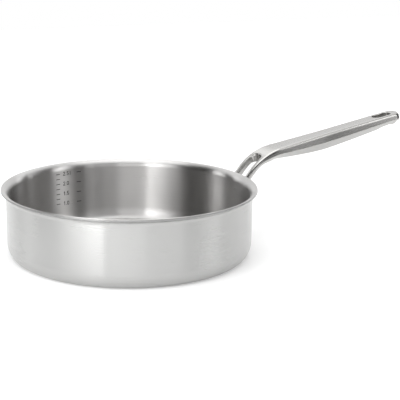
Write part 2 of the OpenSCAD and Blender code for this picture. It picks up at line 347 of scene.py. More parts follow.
@dataclass
class ProfilePoint:
    """A point of a turned outline, with the direction that the surface faces there."""

    radius: float
    height: float
    facing: Point2


@dataclass
class CapacityScale:
    """Marks and numerals etched into the inside of the wall, for each quarter and half of a litre."""

    first: float = 1.0
    last: float = 2.5
    fine_step: float = 0.25
    coarse_step: float = 0.5
    tick_length: float = 5.0
    tick_width: float = 0.7
    depth: float = 0.12
    digit_height: float = 4.4
    angle: float = 99.0
    fine_offset: float = 10.2
    coarse_offset: float = 15.8
    width_share: float = 0.58
    stroke_share: float = 0.15
    gap_share: float = 0.16
    arc_step: float = 15.0

    def __post_init__(self) -> None:
        """Works out the widths of the numerals from their height."""
        self.digit_width = self.digit_height * self.width_share
        self.stroke = self.digit_height * self.stroke_share
        self.gap = self.digit_height * self.gap_share
        self.numeral_width = 2 * self.digit_width + self.stroke + 2 * self.gap

    def bar(self, x: float, y: float, width: float, height: float) -> list[Point2]:
        """Outlines a bar from its lower left corner."""
        return [(x, y), (x + width, y), (x + width, y + height), (x, y + height)]

    def bow(self, x: float, y: float, start: float, end: float) -> list[Point2]:
        """Outlines a piece of a ring as wide as a digit.

        Args:
            x: Middle of the ring across the digit.
            y: Middle of the ring up the digit.
            start: Angle in degrees where the piece starts.
            end: Angle in degrees where it ends.

        Returns:
            Points of the outline.
        """
        steps = max(2, round((end - start) / self.arc_step))
        angles = [math.radians(mix(start, end, i / steps)) for i in range(steps + 1)]
        outer = self.digit_width / 2
        inner = outer - self.stroke
        return [(x + outer * math.cos(a), y + outer * math.sin(a)) for a in angles] + [
            (x + inner * math.cos(a), y + inner * math.sin(a)) for a in reversed(angles)
        ]

    def digit(self, value: int) -> list[list[Point2]]:
        """Draws a digit that the scale needs.

        Args:
            value: 0, 1, 2 or 5.

        Returns:
            Outlines of the strokes, from the digit's lower left corner.
        """
        w, h, s, r = self.digit_width, self.digit_height, self.stroke, self.digit_width / 2
        # Slants and ends are placed by widths of the stroke and radii of the bow
        return {
            0: [self.bow(r, h - r, 0, 180), self.bow(r, r, 180, 360),
                self.bar(0, r, s, h - w), self.bar(w - s, r, s, h - w)],
            1: [self.bar(w - 2 * s, 0, s, h),
                [(w - 2 * s, h), (s, h - 1.6 * s), (s, h - 3 * s), (w - 2 * s, h - 1.6 * s)]],
            2: [self.bow(r, h - r, -35, 180), self.bar(0, 0, w, s),
                [(0, s), (1.5 * s, s), (w - 0.2 * s, h - 1.5 * r), (w - 1.2 * s, h - 1.35 * r)]],
            5: [self.bow(r, r, -160, 115), self.bar(0.3 * s, w - 1.4 * s, s, h - w + 1.4 * s),
                self.bar(0.3 * s, h - s, w - 0.6 * s, s)],
        }[value]

    def placed(self, outlines: Iterable[list[Point2]], arc: float, height: float) -> list[list[Point2]]:
        """Moves outlines from a drawing that reads left to right to their place on the unrolled wall."""
        return [[(arc - x, height + y) for x, y in reversed(outline)] for outline in outlines]

    def outlines(self, level: Callable[[float], float]) -> list[list[Point2]]:
        """Draws the whole scale on the unrolled wall.

        Args:
            level: Height of the liquid in millimetres for a volume in litres.

        Returns:
            Outlines of all the marks and strokes.
        """
        found: list[list[Point2]] = []
        tick = self.bar(-self.tick_length / 2, -self.tick_width / 2, self.tick_length, self.tick_width)
        for offset, step in ((self.fine_offset, self.fine_step), (-self.coarse_offset, self.coarse_step)):
            for i in range(round((self.last - self.first) / step) + 1):
                found += self.placed([tick], offset, level(self.first + i * step))
        left = self.numeral_width / 2
        for i in range(round((self.last - self.first) / self.coarse_step) + 1):
            litres = self.first + i * self.coarse_step
            foot = level(litres) - self.digit_height / 2
            found += self.placed(self.digit(int(litres)), left, foot)
            found += self.placed([self.bar(0, 0, self.stroke, self.stroke)],
                                 left - self.digit_width - self.gap, foot)
            found += self.placed(self.digit(round(litres % 1 * 10)), self.digit_width - left, foot)
        found += self.placed([self.bar(0, 0, self.stroke, self.digit_height)],
                             -left - 2 * self.gap, level(self.last) - self.digit_height / 2)
        return found


@dataclass
class PanBody:
    """The clad body: lining, aluminium core and skin, drawn as parallel layers of one sheet."""

    inner_r: float = 120.0
    height: float = 68.5
    lining_t: float = 0.5
    core_t: float = 1.4
    skin_t: float = 0.5
    corner_run: float = 10.0
    corner_rise: float = 15.0
    lip_r: float = 5.5
    lip_angle: float = 83.0
    lip_edge_r: float = 0.8
    # Where the liquid that the rounded corner keeps out has its middle, as a share of the corner's run
    corner_middle_share: float = 0.22
    segments: int = 288
    floor_rings: int = 4
    corner_steps: int = 36
    lip_steps: int = 24
    edge_steps: int = 8
    least_edge_step: float = 0.02
    patch_margin: float = 4.0
    same_place: float = 1e-5
    scale: CapacityScale = field(default_factory=CapacityScale)

    def __post_init__(self) -> None:
        """Works out the sheet and the lip from the driving sizes."""
        self.sheet_t = self.lining_t + self.core_t + self.skin_t
        self.wall_r = self.inner_r + self.sheet_t
        self.lip_z = self.height - (self.lip_r + self.sheet_t) * math.sin(math.radians(self.lip_angle))
        self.wall_levels: list[float] = []

    def level(self, litres: float) -> float:
        """Gives the height of the liquid.

        Args:
            litres: Volume in the pan.

        Returns:
            Height above the plane of the base, in millimetres.
        """
        run, rise = self.corner_run - self.sheet_t, self.corner_rise - self.sheet_t
        middle_r = self.inner_r - self.corner_middle_share * run
        corner = 2 * math.pi * middle_r * run * rise * (1 - math.pi / 4)
        return self.sheet_t + (litres * MM3_PER_LITRE + corner) / (math.pi * self.inner_r ** 2)

    def corner_point(self, depth: float, degrees: float) -> ProfilePoint:
        """Gives a point of the bottom corner.

        Args:
            depth: Depth below the outside of the sheet.
            degrees: Angle round the corner, from the base to the wall.

        Returns:
            The point.
        """
        a = math.radians(degrees)
        slope = Vector((self.corner_rise * math.sin(a), -self.corner_run * math.cos(a))).normalized()
        return ProfilePoint(
            self.wall_r - self.corner_run + self.corner_run * math.sin(a) - depth * slope.x,
            self.corner_rise - self.corner_rise * math.cos(a) - depth * slope.y,
            (slope.x, slope.y),
        )

    def lip_point(self, depth: float, degrees: float) -> ProfilePoint:
        """Gives a point of the lip's curl.

        Args:
            depth: Depth below the outside of the sheet.
            degrees: Angle that the curl has turned there from the upright wall.

        Returns:
            The point.
        """
        a = math.radians(degrees)
        reach = self.lip_r + depth
        return ProfilePoint(
            self.wall_r + self.lip_r - reach * math.cos(a),
            self.lip_z + reach * math.sin(a),
            (math.cos(a), -math.sin(a)),
        )

    def edge_lean(self, depth: float) -> float:
        """Gives how far the surface of the lip's edge leans to a side.

        Args:
            depth: Depth below the outside of the sheet.

        Returns:
            A lean from -1, where it meets the inside, to 1, where it meets the outside.
        """
        rim = min(depth, self.sheet_t - depth)
        lean = max(0.0, 1 - rim / self.lip_edge_r)
        return lean if depth < self.sheet_t / 2 else -lean

    def lip_end(self, depth: float) -> float:
        """Gives the angle where the curl ends, at a depth below the outside of the sheet."""
        back = self.lip_edge_r * (1 - math.sqrt(1 - self.edge_lean(depth) ** 2))
        return self.lip_angle - math.degrees(back / (self.lip_r + depth))

    def surface(self, depth: float, side: int) -> list[ProfilePoint]:
        """Draws one surface of a layer, from the axis to the lip's edge.

        Args:
            depth: Depth of the surface below the outside of the sheet.
            side: 1 for a surface that faces out, and -1 for one that faces in.

        Returns:
            Points from the axis outward.
        """
        corner = [self.corner_point(depth, 90 * i / self.corner_steps)
                  for i in range(self.corner_steps + 1)]
        end = self.lip_end(depth)
        lip = [self.lip_point(depth, end * i / self.lip_steps) for i in range(self.lip_steps + 1)]
        levels = self.wall_levels if side < 0 else []
        rows = [ProfilePoint(corner[-1].radius, z, (1.0, 0.0)) for z in levels]
        floor = [ProfilePoint(corner[0].radius * i / self.floor_rings, depth, (0.0, -1.0))
                 for i in range(self.floor_rings)]
        points = floor + corner + rows + lip
        return [ProfilePoint(p.radius, p.height, (p.facing[0] * side, p.facing[1] * side)) for p in points]

    def edge(self, start: float, end: float) -> list[ProfilePoint]:
        """Draws the lip's polished edge between two depths.

        Args:
            start: Depth of the layer's outer surface.
            end: Depth of its inner surface.

        Returns:
            Points between the two surfaces, without the ends.
        """
        turns = [self.lip_edge_r * (1 - math.cos(math.radians(90 * i / self.edge_steps)))
                 for i in range(1, self.edge_steps + 1)]
        depths = sorted(turns + [self.sheet_t - d for d in turns])
        points = []
        for depth in depths:
            if not start + self.least_edge_step < depth < end - self.least_edge_step:
                continue
            point = self.lip_point(depth, self.lip_end(depth))
            lean, a = self.edge_lean(depth), math.radians(self.lip_end(depth))
            ahead, c, s = math.sqrt(1 - lean ** 2), math.cos(a), math.sin(a)
            point.facing = (lean * c + ahead * s, -lean * s + ahead * c)
            points.append(point)
        return points

    def outline(self, depth: float, thickness: float) -> list[ProfilePoint]:
        """Draws the whole outline of a layer, from the axis outside over the edge to the axis inside."""
        inside = self.surface(depth + thickness, -1)
        return self.surface(depth, 1) + self.edge(depth, depth + thickness) + inside[::-1]

    def turned(self, outline: Sequence[ProfilePoint]) -> tuple[np.ndarray, np.ndarray]:
        """Turns an outline round the axis.

        Args:
            outline: Points of the outline.

        Returns:
            Vertices and normals, one ring after another.
        """
        angles = 2 * math.pi * np.arange(self.segments) / self.segments
        c, s = np.cos(angles), np.sin(angles)
        vertices = [np.stack([p.radius * c, p.radius * s, np.full_like(c, p.height)], axis=1)
                    for p in outline]
        normals = [np.stack([p.facing[0] * c, p.facing[0] * s, np.full_like(c, p.facing[1])], axis=1)
                   for p in outline]
        return np.concatenate(vertices), np.concatenate(normals)

    def layer_mesh(
        self, outline: Sequence[ProfilePoint], skipped: Iterable[tuple[int, int]] = ()
    ) -> tuple[np.ndarray, np.ndarray, list[list[int]]]:
        """Meshes a turned layer, with one vertex where a surface meets the axis.

        Args:
            outline: Points of the outline, of which the first and the last are on the axis.
            skipped: Pairs of row and segment that stay open for another mesh.

        Returns:
            Vertices, normals and faces.
        """
        count, last = self.segments, len(outline) - 1
        vertices, normals = self.turned(outline[1:-1])
        poles = [(0.0, 0.0, outline[i].height) for i in (0, last)]
        vertices = np.concatenate([vertices, poles])
        normals = np.concatenate([normals, [(0.0, 0.0, outline[i].facing[1]) for i in (0, last)]])
        first_pole = count * (last - 1)
        faces: list[list[int]] = []
        for j in range(count):
            k = (j + 1) % count
            faces.append([first_pole, k, j])
            ring = count * (last - 2)
            faces.append([first_pole + 1, ring + j, ring + k])
        for i in range(last - 2):
            for j in range(count):
                k = (j + 1) % count
                if (i, j) not in skipped:
                    faces.append([i * count + j, i * count + k, (i + 1) * count + k, (i + 1) * count + j])
        return vertices, normals, faces

    def build_layer(self, name: str, node: str, depth: float, thickness: float, slot: Slot,
                    finish: BrushedSteel | PlainMetal) -> bpy.types.Object:
        """Builds a plain layer of the sheet, from a depth below the sheet's outside."""
        vertices, normals, faces = self.layer_mesh(self.outline(depth, thickness))
        return make_piece(name, vertices, faces, normals, slot, [node], [finish.material()])

    def build_lining(self) -> bpy.types.Object:
        """Builds the lining, with the capacity scale etched into its wall.

        Returns:
            The lining.
        """
        marks = self.scale.outlines(self.level)
        arcs = [x for outline in marks for x, _ in outline]
        heights = [z for outline in marks for _, z in outline]
        # The open part of the wall ends just above the marks, because the lip's curl starts there
        low = min(heights) - self.scale.tick_width
        high = max(heights) + self.scale.tick_width / 2
        self.wall_levels = [low, high]
        outline = self.outline(self.core_t + self.skin_t, self.lining_t)
        self.wall_levels = []
        step = 360 / self.segments
        middle = self.scale.angle
        start = math.floor((middle + math.degrees((min(arcs) - self.patch_margin) / self.inner_r)) / step)
        end = math.ceil((middle + math.degrees((max(arcs) + self.patch_margin) / self.inner_r)) / step)
        upper = next(i for i, p in enumerate(outline) if p.facing == (-1.0, 0.0) and p.height == high)
        top_row, bottom_row = upper - 1, upper
        skipped = {(top_row, j % self.segments) for j in range(start, end)}
        vertices, normals, faces = self.layer_mesh(outline, skipped)

        def arc_of(column: int) -> float:
            """Gives the distance of a column of vertices from the middle of the numerals."""
            return math.radians(column * step - middle) * self.inner_r

        across = range(start, end + 1)
        border = [
            (row * self.segments + j % self.segments, (arc_of(j), height))
            for row, height, columns in ((bottom_row, low, across), (top_row, high, across[::-1]))
            for j in columns
        ]
        return self.etched(vertices, normals, faces, border, marks)

    def etched(
        self,
        vertices: np.ndarray,
        normals: np.ndarray,
        faces: list[list[int]],
        border: list[tuple[int, Point2]],
        marks: list[list[Point2]],
    ) -> bpy.types.Object:
        """Fills the open part of the wall with a sheet that holds the etched marks.

        Args:
            vertices: Vertices of the turned lining.
            normals: Their normals.
            faces: Its faces.
            border: Vertex number and place on the unrolled wall of each point round the open part.
            marks: Outlines of the marks on the unrolled wall.

        Returns:
            The finished lining.
        """
        points = [Vector(place) for _, place in border]
        rings = [list(range(len(points)))]
        for mark in marks:
            rings.append(list(range(len(points), len(points) + len(mark))))
            points += [Vector(p) for p in mark]
        flat, _, triangles, sources, _, owners = geometry.delaunay_2d_cdt(
            points, [], rings, 0, self.same_place, True)
        new_vertices, new_normals, number = [], [], {}
        for i, source in enumerate(sources):
            known = [border[s][0] for s in source if s < len(border)]
            if known:
                number[i, False] = known[0]

        def vertex(i: int, sunk: bool) -> int:
            """Finds or makes the vertex of a point on the unrolled wall.

            Args:
                i: Number of the point.
                sunk: Whether the vertex is at the bottom of the etching, and not on the wall.

            Returns:
                Number of the vertex.
            """
            if (i, sunk) not in number:
                angle = math.radians(self.scale.angle) + flat[i].x / self.inner_r
                radius = self.inner_r + (self.scale.depth if sunk else 0.0)
                number[i, sunk] = len(vertices) + len(new_vertices)
                new_vertices.append((radius * math.cos(angle), radius * math.sin(angle), flat[i].y))
                new_normals.append((-math.cos(angle), -math.sin(angle), 0.0))
            return number[i, sunk]

        face_materials = [0] * len(faces)
        sunk_edges: list[tuple[int, int]] = []
        plain_edges: set[tuple[int, int]] = set()
        for triangle, owner in zip(triangles, owners):
            if 0 not in owner:
                continue
            sunk = len(owner) > 1
            order = list(reversed(triangle))
            faces.append([vertex(i, sunk) for i in order])
            face_materials.append(1 if sunk else 0)
            for a, b in zip(order, order[1:] + order[:1]):
                if sunk:
                    sunk_edges.append((a, b))
                else:
                    plain_edges.add((b, a))
        walls = []
        for a, b in sunk_edges:
            if (a, b) in plain_edges:
                walls.append(len(faces))
                faces.append([vertex(b, True), vertex(a, True), vertex(a, False), vertex(b, False)])
                face_materials.append(1)
        vertices = np.concatenate([vertices, new_vertices])
        normals = np.concatenate([normals, new_normals])
        return make_piece(
            "inner_lining_etched", vertices, faces, normals, Slot.LINING, ["inner_lining"],
            [LINING_STEEL.material(), ETCHED_STEEL.material()], face_materials, walls,
        )

    def build(self) -> None:
        """Builds and dresses the three layers."""
        self.build_layer("outer_skin_brushed", "outer_skin", 0.0, self.skin_t, Slot.SKIN, SKIN_STEEL)
        self.build_layer("heat_core_rolled", "heat_core", self.skin_t, self.core_t, Slot.CORE,
                         ROLLED_ALUMINIUM)
        self.build_lining()


# Steps that pull a wrapped mesh onto its surface, and the least squared slope that one divides by
PULL_STEPS = 4
LEAST_SLOPE = 0.25


def surface_net(
    value: Callable[..., np.ndarray], low: Sequence[float], high: Sequence[float], cell: float
) -> tuple[np.ndarray, np.ndarray, np.ndarray]:
    """Wraps a mesh of quads round the space where a function is below zero.

    Args:
        value: Function of the three coordinates, below zero inside.
        low: Lowest corner of the space to search.
        high: Highest corner of it.
        cell: Size of a search cell.

    Returns:
        Vertices, their normals, and the vertex numbers of the quads.
    """
    axes = [np.arange(a, b + cell, cell) for a, b in zip(low, high)]
    grid = value(*np.meshgrid(*axes, indexing="ij"))
    cells = tuple(n - 1 for n in grid.shape)
    total, hits = np.zeros(cells + (3,)), np.zeros(cells)
    for axis in range(3):
        for a, b in ((0, 0), (0, 1), (1, 0), (1, 1)):
            start = np.zeros(3, int)
            start[(axis + 1) % 3], start[(axis + 2) % 3] = a, b
            stop = start.copy()
            stop[axis] = 1
            first, second = (grid[tuple(slice(o, o + n) for o, n in zip(corner, cells))]
                             for corner in (start, stop))
            cut = (first < 0) != (second < 0)
            place = np.where(cut, first / np.where(cut, first - second, 1.0), 0.0)
            for k in range(3):
                total[..., k] += cut * (place if k == axis else start[k])
            hits += cut
    crossed = hits > 0
    where = np.argwhere(crossed)
    points = (where + total[crossed] / hits[crossed][:, None]) * cell + np.array(low)
    number = np.full(cells, -1)
    number[crossed] = np.arange(len(where))
    inside = grid < 0
    quads = []
    for axis in range(3):
        order = (axis, (axis + 1) % 3, (axis + 2) % 3)
        turned, cell_number = np.transpose(inside, order), np.transpose(number, order)
        here, ahead = turned[:-1, 1:-1, 1:-1], turned[1:, 1:-1, 1:-1]
        around = (cell_number[:, :-1, :-1], cell_number[:, 1:, :-1],
                  cell_number[:, 1:, 1:], cell_number[:, :-1, 1:])
        for found, turn in ((here & ~ahead, (0, 1, 2, 3)), (~here & ahead, (3, 2, 1, 0))):
            quads.append(np.stack([around[i][found] for i in turn], axis=1))
    for _ in range(PULL_STEPS):
        slope = gradient(value, points)
        points = points - slope * (value(*points.T) / np.maximum((slope ** 2).sum(1), LEAST_SLOPE))[:, None]
    slope = gradient(value, points)
    normals = slope / np.linalg.norm(slope, axis=1)[:, None]
    return points, normals, np.concatenate(quads)


def gradient(value: Callable[..., np.ndarray], points: np.ndarray, step: float = 0.02) -> np.ndarray:
    """Measures the slope of a function at points, one a row, over a step to each side."""
    shifts = np.eye(3) * step
    return np.stack([value(*(points + s).T) - value(*(points - s).T) for s in shifts], axis=1) / (2 * step)


def both(a: np.ndarray, b: np.ndarray, radius: float) -> np.ndarray:
    """Keeps what lies inside both of two shapes, given by their distances, with a rounded common edge."""
    rounding = np.hypot(np.maximum(radius + a, 0), np.maximum(radius + b, 0))
    return np.minimum(-radius, np.maximum(a, b)) + rounding


@dataclass
class Stretch:
    """A straight or evenly bent stretch of the handle's top line."""

    start: Vector
    slope: float
    begins_at: float
    length: float
    bend_r: float = 0.0

    @property
    def end_slope(self) -> float:
        """Slope where the stretch ends, in radians."""
        return self.slope + (self.length / self.bend_r if self.bend_r else 0.0)

    @property
    def centre(self) -> Vector:
        """Centre of the bend."""
        return self.start + self.bend_r * Vector((math.sin(self.slope), -math.cos(self.slope)))

    @property
    def end(self) -> Vector:
        """Point where the stretch ends."""
        if self.bend_r:
            return self.centre - self.bend_r * Vector((math.sin(self.end_slope), -math.cos(self.end_slope)))
        return self.start - self.length * Vector((math.cos(self.slope), math.sin(self.slope)))

    def follow(self, x: np.ndarray, z: np.ndarray) -> tuple[np.ndarray, np.ndarray]:
        """Measures places along the stretch and below it.

        Args:
            x: Distance from the pan's axis.
            z: Height.

        Returns:
            Distance along the whole top line, and depth below it.
        """
        if self.bend_r:
            dx, dz = x - self.centre.x, z - self.centre.y
            middle = self.length / self.bend_r / 2
            turned = np.arctan2(-dx, dz) - self.slope - middle
            turned = (turned + math.pi) % (2 * math.pi) - math.pi
            beyond = np.where(np.abs(turned) > math.pi / 2, -1.0, 1.0)
            return self.begins_at + self.bend_r * (turned + middle), self.bend_r - beyond * np.hypot(dx, dz)
        dx, dz = x - self.start.x, z - self.start.y
        c, s = math.cos(self.slope), math.sin(self.slope)
        return self.begins_at - dx * c - dz * s, dx * s - dz * c


@dataclass
class Handle:
    """The casting: a grip with flat sides and a belly, a bend, two prongs and their feet."""

    wall_r: float = 122.4
    pan_height: float = 68.5
    sheet_t: float = 2.4
    reach: float = 218.0
    rise: float = 51.8
    tilt: float = 9.2
    grip_w: float = 23.0
    belly_d: float = 18.4
    butt_d: float = 13.6
    neck_d: float = 11.6
    side_draft: float = 10.0
    edge_r: float = 2.4
    nose_r: float = 3.0
    side_edge_r: float = 0.35
    bottom_edge_r: float = 1.4
    hole_edge_r: float = 0.9
    fork_draft: float = 10.0
    bend_r: float = 64.0
    bend_reach: float = 12.1
    prong_slope: float = 50.0
    prong_d: float = 6.8
    fork_w: float = 28.4
    fork_gap: float = 14.2
    fork_reach: float = 30.2
    foot_w: float = 33.0
    foot_drop: float = 33.5
    foot_bend_r: float = 12.0
    hang_l: float = 23.6
    hang_w: float = 12.4
    hang_inset: float = 11.8
    # Where its forms begin: the butt as a share of the grip's width, the belly and the widening of the
    # grip's length, the neck of the way from the bend to the crotch, and the thinning of the gap
    butt_share: float = 0.87
    belly_share: float = 0.65
    widening_share: float = 0.55
    neck_share: float = 0.45
    thinning_share: float = 0.85
    # How full the curve of the underside is, and how the feet taper
    belly_power: float = 1.4
    foot_power: int = 2
    # Depths and flats as shares of the full depth or width at their place
    foot_tip_share: float = 0.7
    facet_share: float = 0.5
    tip_facet_share: float = 0.85
    grip_bottom_share: float = 0.42
    prong_bottom_share: float = 0.8
    # How far the feet's top line lies inside the sheet
    foot_bury_share: float = 0.6
    cell: float = 0.6
    margin: float = 2.0

    def __post_init__(self) -> None:
        """Lays out the top line from the far end to the lower end of the feet."""
        tilt, steep = math.radians(self.tilt), math.radians(self.prong_slope)
        tip = Vector((self.wall_r + self.reach, self.pan_height + self.rise))
        bend_end_x = self.wall_r + self.bend_reach
        bend_start_x = bend_end_x + self.bend_r * (math.sin(steep) - math.sin(tilt))
        self.grip_length = (tip.x - bend_start_x) / math.cos(tilt)
        foot_x = self.wall_r - self.foot_bury_share * self.sheet_t
        prong = (bend_end_x - foot_x - self.foot_bend_r * (1 - math.sin(steep))) / math.cos(steep)
        self.stretches = [Stretch(tip, tilt, 0.0, self.grip_length)]
        for length, radius in (
            (self.bend_r * (steep - tilt), self.bend_r),
            (prong, 0.0),
            (self.foot_bend_r * (math.pi / 2 - steep), self.foot_bend_r),
            (self.foot_drop, 0.0),
        ):
            last = self.stretches[-1]
            begins_at = last.begins_at + last.length
            self.stretches.append(Stretch(last.end, last.end_slope, begins_at, length, radius))
        self.foot_z = self.pan_height - self.foot_drop
        self.foot_end = self.stretches[4].begins_at + self.stretches[4].start.y - self.foot_z
        crotch_x = self.wall_r + self.fork_reach
        crotch_slope = math.asin(math.sin(tilt) + (bend_start_x - crotch_x) / self.bend_r)
        self.crotch = self.grip_length + self.bend_r * (crotch_slope - tilt)
        self.prong_start = self.crotch + self.thinning_share * self.fork_gap

    def follow(self, x: np.ndarray, z: np.ndarray) -> tuple[np.ndarray, np.ndarray]:
        """Measures places along the top line and below it.

        Args:
            x: Distance from the pan's axis.
            z: Height.

        Returns:
            Distance along the top line from the far end, and depth below it.
        """
        along, depth = self.stretches[-1].follow(x, z)
        for stretch in reversed(self.stretches[:-1]):
            near, below = stretch.follow(x, z)
            here = near < stretch.begins_at + stretch.length
            along, depth = np.where(here, near, along), np.where(here, below, depth)
        return along, depth

    def full_depth(self, s: np.ndarray) -> np.ndarray:
        """Gives the depth of the handle from its top line to its underside.

        Args:
            s: Distances along the top line from the far end.

        Returns:
            Depths.
        """
        butt, belly = self.butt_share * self.grip_w, self.belly_share * self.grip_length
        neck = mix(self.grip_length, self.crotch, self.neck_share)
        turn_end = self.stretches[4].begins_at
        swell = 1 - np.clip((belly - s) / (belly - butt), 0, 1) ** self.belly_power
        grip = mix(self.butt_d, self.belly_d, swell)
        shrink = np.clip((s - belly) / (neck - belly), 0, 1) ** self.belly_power
        throat = mix(self.belly_d, self.neck_d, shrink)
        fork = mix(self.neck_d, self.prong_d, smooth((s - neck) / (self.prong_start - neck)))
        taper = np.clip((s - turn_end) / (self.foot_end - turn_end), 0, 1) ** self.foot_power
        foot = self.prong_d * mix(1.0, self.foot_tip_share, taper)
        return np.select([s < belly, s < neck, s < turn_end], [grip, throat, fork], foot)

    def half_width(self, s: np.ndarray) -> np.ndarray:
        """Gives half of the handle's width over all.

        Args:
            s: Distances along the top line from the far end.

        Returns:
            Half widths.
        """
        widening = self.widening_share * self.grip_length
        fork = mix(self.grip_w, self.fork_w, smooth((s - widening) / (self.prong_start - widening)))
        turn_start, turn_end = self.stretches[3].begins_at, self.stretches[4].begins_at
        return mix(fork, self.foot_w, smooth((s - turn_start) / (turn_end - turn_start))) / 2

    def slot(
        self, x: np.ndarray, y: np.ndarray, z: np.ndarray, end: Point2, length: float, width: float
    ) -> np.ndarray:
        """Gives the distance from a slot that goes through square to the grip.

        Args:
            x: Distance from the pan's axis.
            y: Distance to the side.
            z: Height.
            end: Place of the slot's far end, as distance from the axis and height.
            length: Length of the slot.
            width: Width of the slot, with round ends.

        Returns:
            Distance from the slot's wall, below zero in the slot.
        """
        tilt = math.radians(self.tilt)
        along = (x - end[0]) * math.cos(tilt) + (z - end[1]) * math.sin(tilt)
        return np.hypot(along - np.clip(along, width / 2 - length, -width / 2), y) - width / 2

    def inside(self, x: np.ndarray, y: np.ndarray, z: np.ndarray) -> np.ndarray:
        """Gives the distance from the casting's surface.

        Args:
            x: Distance from the pan's axis.
            y: Distance to the side.
            z: Height.

        Returns:
            Distance, below zero in the metal.
        """
        s, below = self.follow(x, z)
        round_end = self.grip_w / 2
        depth, width = self.full_depth(np.maximum(s, 0)), self.half_width(s)
        side = np.where(s < round_end, np.hypot(round_end - s, y) - round_end, np.abs(y) - width)
        nose = 1 - smooth(s / self.nose_r / 2)
        shoulder = depth * mix(self.facet_share, self.tip_facet_share, nose)
        forking = smooth((s - self.grip_length) / (self.prong_start - self.grip_length))
        run = width * (1 - mix(self.grip_bottom_share, self.prong_bottom_share, forking))
        drop = depth - shoulder
        facet = (side * drop + (below - shoulder) * run) / np.hypot(drop, run)
        draft = math.radians(self.side_draft)
        flank = side * math.cos(draft) + np.maximum(shoulder - below, 0) * math.sin(draft)
        metal = both(-below, flank, mix(self.edge_r, self.nose_r, nose))
        metal = both(metal, facet, mix(self.side_edge_r, self.edge_r, nose))
        metal = both(metal, below - depth, self.bottom_edge_r)
        crotch = self.fork_reach + self.wall_r, self.top_at(self.crotch).y
        fork = self.slot(x, y, z, crotch, self.fork_reach + self.reach, self.fork_gap)
        fork -= np.clip(self.prong_d - below, 0, self.prong_d) * math.tan(math.radians(self.fork_draft))
        hang = self.slot(x, y, z, tuple(self.top_at(self.hang_inset)), self.hang_l, self.hang_w)
        metal = both(metal, -fork, self.hole_edge_r)
        metal = both(metal, -hang, self.hole_edge_r)
        metal = both(metal, self.foot_z - z, self.edge_r)
        return np.maximum(metal, self.wall_r - np.hypot(x, y))

    def top_at(self, s: float) -> Vector:
        """Gives a point of the top line, on the grip or in the bend.

        Args:
            s: Distance along the top line from the far end.

        Returns:
            Distance of the point from the pan's axis, and its height.
        """
        grip, bend = self.stretches[:2]
        if s < self.grip_length:
            return Stretch(grip.start, grip.slope, 0.0, s).end
        return Stretch(bend.start, bend.slope, 0.0, s - self.grip_length, bend.bend_r).end

    def build(self) -> None:
        """Builds and dresses the casting."""
        tip_x, tip_z = self.stretches[0].start
        low = np.array((self.wall_r, -self.foot_w / 2, self.foot_z)) - self.margin
        high = np.array((tip_x, self.foot_w / 2, tip_z)) + self.margin
        vertices, normals, quads = surface_net(self.inside, low, high, self.cell)
        make_piece("handle_cast", vertices, quads.tolist(), normals, Slot.HANDLE, ["handle"],
                   [HANDLE_STEEL.material()])


@dataclass
class Welds:
    """The nuggets of melted metal between the feet and the skin, which stay as they are packed."""

    node: str = "weld_nuggets"

    def build(self) -> None:
        """Dresses the nuggets."""
        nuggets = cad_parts[self.node]
        nuggets.data.materials.clear()
        nuggets.data.materials.append(WELD_METAL.material())
        log.info("%s: carried over in %s", self.node, Slot.WELD.value)


@dataclass(frozen=True)
class Panel:
    """A soft box, or a black flag where it gives no light, that stands round the pan out of the picture.

    Its azimuths count from the camera's side towards the right of the picture, and its elevations from
    the floor, all in degrees as seen from the pan. A soft box can fade towards its left side.
    """

    name: str
    left: float
    right: float
    low: float
    high: float
    strength: float = 0.0
    fade: float = 0.0
    distance: float = 2400.0
    step: float = 4.0

    def material(self) -> bpy.types.Material:
        """Builds the lit diffuser of a soft box, or the black cloth of a flag.

        Returns:
            The finished material.
        """
        material, tree = new_material(self.name)
        if self.strength > 0:
            glow = add_node(tree, "ShaderNodeAttribute", {"attribute_name": "glow"}).outputs["Fac"]
            face = add_node(tree, "ShaderNodeEmission", None, {"Color": WHITE, "Strength": glow})
        else:
            face = add_node(tree, "ShaderNodeBsdfDiffuse", None, {"Color": srgb(FLAG_CLOTH)})
        add_node(tree, "ShaderNodeOutputMaterial", None, {"Surface": face.outputs[0]})
        return material

    def build(self, turn: Matrix) -> None:
        """Hangs the panel on a sphere round the pan.

        Args:
            turn: Turn from the photographed view to the pan's own axes.
        """
        columns = max(2, math.ceil((self.right - self.left) / self.step) + 1)
        rows = max(2, math.ceil((self.high - self.low) / self.step) + 1)
        across = np.radians(np.linspace(self.left, self.right, columns))
        up = np.radians(np.linspace(self.low, self.high, rows))
        places = [turn @ Vector((math.sin(a) * math.cos(e), -math.cos(a) * math.cos(e), math.sin(e)))
                  * self.distance * MM for e in up for a in across]
        faces = [(i * columns + j, i * columns + j + 1, (i + 1) * columns + j + 1, (i + 1) * columns + j)
                 for i in range(rows - 1) for j in range(columns - 1)]
        mesh = bpy.data.meshes.new(self.name)
        mesh.from_pydata([tuple(place) for place in places], [], faces)
        glow = self.strength * (1 - self.fade * np.linspace(1, 0, columns))
        mesh.attributes.new("glow", "FLOAT", "POINT").data.foreach_set("value", np.tile(glow, rows))
        mesh.materials.append(self.material())
        panel = bpy.data.objects.new(self.name, mesh)
        panel.visible_camera = False
        if self.strength == 0:
            panel.visible_diffuse = panel.visible_shadow = False
        bpy.context.scene.collection.objects.link(panel)


